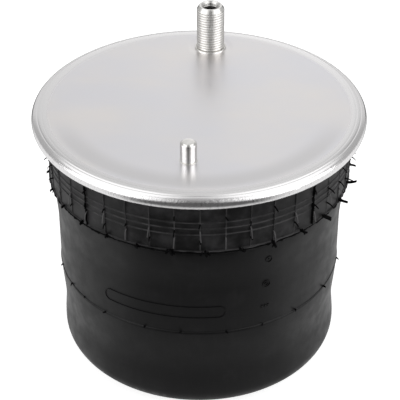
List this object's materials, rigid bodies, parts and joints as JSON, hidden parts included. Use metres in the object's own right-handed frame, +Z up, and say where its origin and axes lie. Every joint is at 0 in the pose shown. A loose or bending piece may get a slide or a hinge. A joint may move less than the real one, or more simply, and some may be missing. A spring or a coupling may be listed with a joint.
{
  "type": "air suspension spring",
  "caption": "Rolling lobe air suspension spring: rolled steel bead plate with threaded air stud and locating pin, rubber sleeve rolled down over a ribbed piston.",
  "frame": {"origin": "centre of the piston's foot, on the surface that the spring stands on", "axes": "+Z up along the stroke to the bead plate, +Y towards the combination stud, +X to the right of the view from the pin's side"},
  "size_m": [0.252, 0.252, 0.2505],
  "materials": {
    "plate_steel": "satin zinc plated sheet",
    "stud_steel": "bright turned and zinc plated",
    "weld": "plated weld",
    "bead_wire": "brassed wire",
    "sleeve_rubber": "moulded black rubber, slightly dusty",
    "seal_rubber": "smooth black rubber",
    "buffer_rubber": "matt black rubber",
    "hardware_steel": "pressed steel",
    "fastener_zinc": "zinc plated",
    "piston_plastic": "glass filled, finely grained black",
    "insert_brass": "turned brass"
  },
  "bodies": {
    "piston_body": {"piston": "piston_plastic", "base_inserts": "insert_brass", "hub_sleeve": "hardware_steel", "clamp_plate": "hardware_steel", "clamp_seal": "seal_rubber", "lower_bead_core": "bead_wire", "bump_stop": "buffer_rubber", "bump_stop_disc": "hardware_steel", "centre_bolt": "fastener_zinc", "bolt_washer": "fastener_zinc", "nut_washer": "fastener_zinc", "centre_nut": "fastener_zinc", "bellows": "sleeve_rubber"},
    "plate_body": {"bead_plate": "plate_steel", "combination_stud": "stud_steel", "stud_lip_weld": "weld", "stud_flange_weld": "weld", "locating_pin": "stud_steel", "pin_weld": "weld", "upper_bead_core": "bead_wire"}
  },
  "joints": [
    {"name": "stroke", "type": "slide", "parent": "piston_body", "child": "plate_body", "axis": [0, 0, 1], "range_m": [0, 0.155], "deforming": ["bellows"]}
  ]
}
